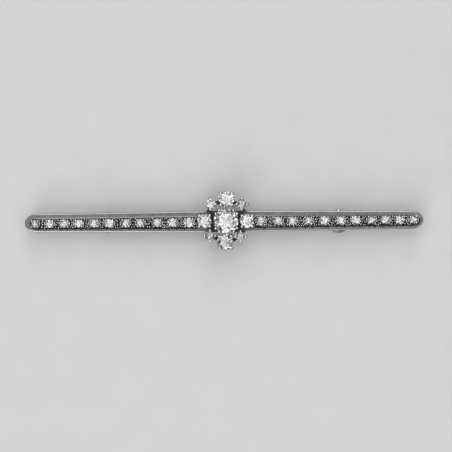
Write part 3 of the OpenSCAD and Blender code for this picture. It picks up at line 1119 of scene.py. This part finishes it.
# %% Make the ring that carries the outer collets
carrier = add_piece(
    "carrier_ring", bpy.ops.mesh.primitive_cylinder_add, vertices=72,
    radius=CARRIER_R + CARRIER_WIDTH / 2, depth=CARRIER_HEIGHT, end_fill_type="NOTHING",
    location=(*FLOWER_MIDDLE[:2], CARRIER_Z + CARRIER_HEIGHT / 2),
)
add_modifier(carrier, "SOLIDIFY", thickness=CARRIER_WIDTH, offset=-1)
round_edges(carrier, CARRIER_ROUND, 3, 50)
# The ring is painted dark, as painted shade under the flower
paint(carrier, shade_silver)
soften(carrier)
hand_over(carrier, "setting")
bpy.data.objects.remove(stone_room)
bpy.data.objects.remove(seat_room)

# %% [markdown]
# Behind the bar are the fittings: a hinge, a pin and a safety catch. Each fitting stands on a
# small plate with a web below it. The plate is a flat block with soft corners, and the web is
# drawn out of its underside, narrower at the neck, as a file leaves it.

# %% Helper for the plates behind the bar
HINGE_X = -23 * MM
CATCH_X = 22.6 * MM
PLATE_SIZE = 3.2 * MM
PLATE_THICKNESS = 0.4 * MM
PLATE_TOP = BAR_BACK - STONE_GAP
PLATE_ROUND = 0.07 * MM
NECK = 0.15 * MM
WEB_TAPER = 0.9


def model_plate(name, x, web_size, web_y, web_foot):
    """A plate under the bar with a web that reaches down to a height."""
    middle = (x, 0, PLATE_TOP - PLATE_THICKNESS / 2)
    plate = add_piece(name, bpy.ops.mesh.primitive_cube_add, size=PLATE_SIZE, location=middle)
    edit(plate)
    resize((1, 1, PLATE_THICKNESS / PLATE_SIZE), middle)
    pick(plate, "FACE", lambda face: face.normal.z < -0.5)
    pull(-NECK)
    resize((web_size[0] / PLATE_SIZE, web_size[1] / PLATE_SIZE, 1), middle)
    move(0, web_y, 0)
    pull(web_foot - PLATE_TOP + PLATE_THICKNESS + NECK, WEB_TAPER, (x, web_y, 0))
    close_edit()
    round_edges(plate, PLATE_ROUND, 3, 20)
    return plate


def file_flat(piece):
    """Lifts all points of the open piece that are below the table's height to it."""
    pick(piece, "VERT", lambda vertex: vertex.co.z < 0)
    resize((1, 1, 0))


print("Plates are", round(PLATE_SIZE / MM, 1), "mm wide")

# %% [markdown]
# The hinge is a tube of three knuckles on a rivet, and the middle one belongs to the pin. It is
# one turned bar here, and two grooves are pressed into it where the knuckles meet. Where it meets
# the table it is filed flat, so all points below the table's height are lifted to it.

# %% Model the hinge
HINGE_R = 1.1 * MM
HINGE_WIDTH = 3.8 * MM
AXIS_Z = 1 * MM
KNUCKLE_ENDS = (-0.62 * MM, 0.62 * MM)
GROOVE = 0.07 * MM
GROOVE_SCALE = 0.86
BARREL_ROUND = 0.12 * MM
# The rivet's head: how far in from the barrel's edge it starts, and how far it stands out
RIVET_INSET = 0.55 * MM
RIVET_HEAD = 0.08 * MM

hinge_plate = model_plate("hinge_plate", HINGE_X, (1.8 * MM, 2.9 * MM), 0, AXIS_Z)
hinge_middle = (HINGE_X, 0, AXIS_Z)
barrel = add_piece("barrel", bpy.ops.mesh.primitive_cylinder_add, vertices=48, radius=HINGE_R,
                   depth=HINGE_WIDTH, location=hinge_middle, rotation=(math.pi / 2, 0, 0))
round_edges(barrel, BARREL_ROUND, 3, 50)
edit(barrel)
for knuckle_end in KNUCKLE_ENDS:
    for step in (-GROOVE, 0, GROOVE):
        slice_at((0, knuckle_end + step, 0), (0, 1, 0))
    pick(barrel, "VERT", lambda vertex: abs(vertex.co.y - knuckle_end) < TOUCH)
    resize((GROOVE_SCALE, 1, GROOVE_SCALE), hinge_middle)
file_flat(barrel)
for end in (-1, 1):
    pick(barrel, "FACE", lambda face: face.normal.y * end > 0.9 and face.calc_area() > HINGE_R ** 2)
    bpy.ops.mesh.inset(thickness=RIVET_INSET)
    move(0, end * RIVET_HEAD, 0)
close_edit()
hinge = join("hinge", [hinge_plate, barrel])
paint(hinge, wire_silver)
soften(hinge)
hand_over(hinge, "pin_and_catch")

# %% [markdown]
# The pin is hard wire, ground to a long point. It starts at the hinge and runs slightly askew to
# the catch, like most old pins. A thin cylinder is laid along that line, and its last face is
# pulled out in five steps, each a little narrower, which makes a rounded point and not a cone.

# %% Model the pin
PIN_R = 0.4 * MM
PIN_START = Vector((HINGE_X, -1.1 * MM, AXIS_Z))
PIN_IN_CATCH = Vector((CATCH_X, -1.45 * MM, 1.12 * MM))
PIN_PAST_CATCH = 1.5 * MM
POINT_STEPS = [(0.8, 0.92), (0.8, 0.82), (0.7, 0.7), (0.5, 0.55), (0.2, 0.3)]

pin_way = (PIN_IN_CATCH - PIN_START).normalized()
pin_length = (PIN_IN_CATCH - PIN_START).length + PIN_PAST_CATCH
pin = add_piece("pin", bpy.ops.mesh.primitive_cylinder_add, vertices=24, radius=PIN_R,
                depth=pin_length, location=(0, 0, pin_length / 2))
edit(pin)
pick(pin, "FACE", lambda face: face.normal.z > 0.5)
for lift, scale in POINT_STEPS:
    pull(lift * MM, scale)
close_edit()
pin_turn = pin_way.to_track_quat("Z", "Y")
pin.data.transform(Matrix.Translation(PIN_START) @ pin_turn.to_matrix().to_4x4())
paint(pin, wire_silver)
soften(pin, 30)
hand_over(pin, "pin_and_catch")

# %% [markdown]
# The safety catch is a bellied sleeve round the pin, with a roller inside. Its lever turns the
# roller, which opens or closes the sleeve's mouth. In the picture its lower side and the lever's
# knob show beside the bar. The sleeve starts from a stretched ball with cut ends. A sunk band
# shows the roller, and a hole along the pin leaves the wall.

# %% Model the safety catch
CATCH_R = 1.3 * MM
CATCH_HALF = 1.15 * MM
CATCH_BELLY = 1.75 * MM
CATCH_MIDDLE = Vector((CATCH_X, -1.15 * MM, 1.25 * MM))
ROLLER_HALF = 0.45 * MM
ROLLER_INSET = 0.1 * MM
ROLLER_EDGE = 0.04 * MM
SLEEVE_ROUND = 0.05 * MM
PIN_HOLE_R = 0.5 * MM

catch_plate = model_plate("catch_plate", CATCH_X, (1.9 * MM, 1.1 * MM), CATCH_MIDDLE.y, 2 * MM)
sleeve = add_piece("sleeve", bpy.ops.mesh.primitive_uv_sphere_add, segments=48, ring_count=24,
                   radius=CATCH_R, location=CATCH_MIDDLE, rotation=(0, math.pi / 2, 0))
edit(sleeve)
resize((CATCH_BELLY / CATCH_R, 1, 1), CATCH_MIDDLE)
for end in (-1, 1):
    catch_end = CATCH_MIDDLE + Vector((end * CATCH_HALF, 0, 0))
    slice_at(catch_end, (end, 0, 0), clear_outer=True, use_fill=True)
    slice_at(CATCH_MIDDLE + Vector((end * ROLLER_HALF, 0, 0)), (end, 0, 0))


def on_roller(face):
    """True for the sleeve's faces in the band where the roller shows, away from the plate."""
    place = face.calc_center_median() - CATCH_MIDDLE
    return abs(place.x) < ROLLER_HALF and place.y > 0 and place.z < CATCH_R / 2


pick(sleeve, "FACE", on_roller)
bpy.ops.mesh.inset(thickness=ROLLER_EDGE, depth=-ROLLER_INSET)
file_flat(sleeve)
close_edit()
paint(sleeve, wire_silver)
pin_hole = add_piece("pin_hole", bpy.ops.mesh.primitive_cylinder_add, vertices=32,
                     radius=PIN_HOLE_R, depth=4 * CATCH_HALF, location=PIN_IN_CATCH,
                     rotation=pin_turn.to_euler())
paint(pin_hole, wire_silver)
cut(sleeve, pin_hole)
round_edges(sleeve, SLEEVE_ROUND, 2, 40)

# %% [markdown]
# The lever is turned from one rod: a shank, a thin neck and a round knob to push with a finger.
# On a lathe the shape is cut ring by ring, and here each ring is one pull of the rod's end face
# with its own width. Fingers keep it bright, and its silver adds a painted highlight on top and
# painted shade on its sides.

# %% Model the lever and join the catch
LEVER_R = 0.24 * MM
KNOB_R = 0.4 * MM
LEVER_START = Vector((CATCH_X, -0.3 * MM, 1.1 * MM))
KNOB_MIDDLE = Vector((CATCH_X, 1.95 * MM, KNOB_R))
NECK_R = 0.19 * MM
NECK_RUN = 0.15 * MM
NECK_SLOPE = 0.05 * MM
KNOB_ANGLES = [math.radians(angle) for angle in range(-60, 90, 15)]

lever_way = KNOB_MIDDLE - LEVER_START
shank = lever_way.length - KNOB_R - NECK_RUN
lever = add_piece("lever", bpy.ops.mesh.primitive_cylinder_add, vertices=24, radius=LEVER_R,
                  depth=shank, location=(0, 0, shank / 2))
edit(lever)
pick(lever, "FACE", lambda face: face.normal.z > 0.5)
knob_height = shank + KNOB_R + NECK_RUN
rings = [(shank + NECK_SLOPE, NECK_R)]
rings += [(knob_height + math.sin(a) * KNOB_R, math.cos(a) * KNOB_R) for a in KNOB_ANGLES]
height, radius = shank, LEVER_R
for ring_height, ring_radius in rings:
    pull(ring_height - height, ring_radius / radius)
    height, radius = ring_height, ring_radius
close_edit()
lever_turn = lever_way.to_track_quat("Z", "Y").to_matrix().to_4x4()
lever.data.transform(Matrix.Translation(LEVER_START) @ lever_turn)
paint(catch_plate, wire_silver)
# The knob gets a painted highlight on top and painted shade below
paint(lever, burnished_and_lit)
catch = join("catch", [catch_plate, sleeve, lever])
soften(catch)
hand_over(catch, "pin_and_catch")

# %% [markdown]
# The stones stay as the frame made them. A cut stone has flat facets and sharp edges, and the
# frame's stones have both, so they only need their material.

# %% Give the stones their material
# These four stones get the darker tint
GREYER_STONES = ("bottom_stone", "bottom_left_stone", "bottom_right_stone", "top_right_stone")

for name in stones:
    paint(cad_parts[name], grey_stone if name in GREYER_STONES else white_stone)
print(len(stones), "stones are diamond now")

# %% [markdown]
# The brooch lies on a plain pale floor, which isn't part of the brooch. It reaches far past the
# view, and a faint unevenness keeps it from looking computed. It lies a hundredth of a millimetre
# below the flat spots of hinge and catch, so as not to share their plane.

# %% Lay the floor
FLOOR_SIZE = 4
MOTTLE_SIZE = 6 * MM


def matt_paper():
    """Heavy matt paper: pale, with a hardly visible mottle a few millimetres wide."""
    material, tree = new_material("matt_paper")
    place = add_node(tree, "TexCoord").outputs["Object"]
    mottle = add_node(tree, "TexNoise", {"Scale": 1 / MOTTLE_SIZE, "Detail": 3}, {"Vector": place})
    colour = add_node(
        tree, "ValToRGB", {"stops": [(0.3, "#c8c8c7"), (0.7, "#cccccb")]}, {"Fac": mottle}
    )
    shader = add_node(tree, "BsdfPrincipled", {"Roughness": 0.85}, {"Base Color": colour})
    add_node(tree, "OutputMaterial", links={"Surface": shader})
    return material


floor = add_piece("floor", bpy.ops.mesh.primitive_plane_add, size=FLOOR_SIZE,
                  location=(0, 0, -TOUCH))
paint(floor, matt_paper())
print("The floor is", FLOOR_SIZE, "m wide")
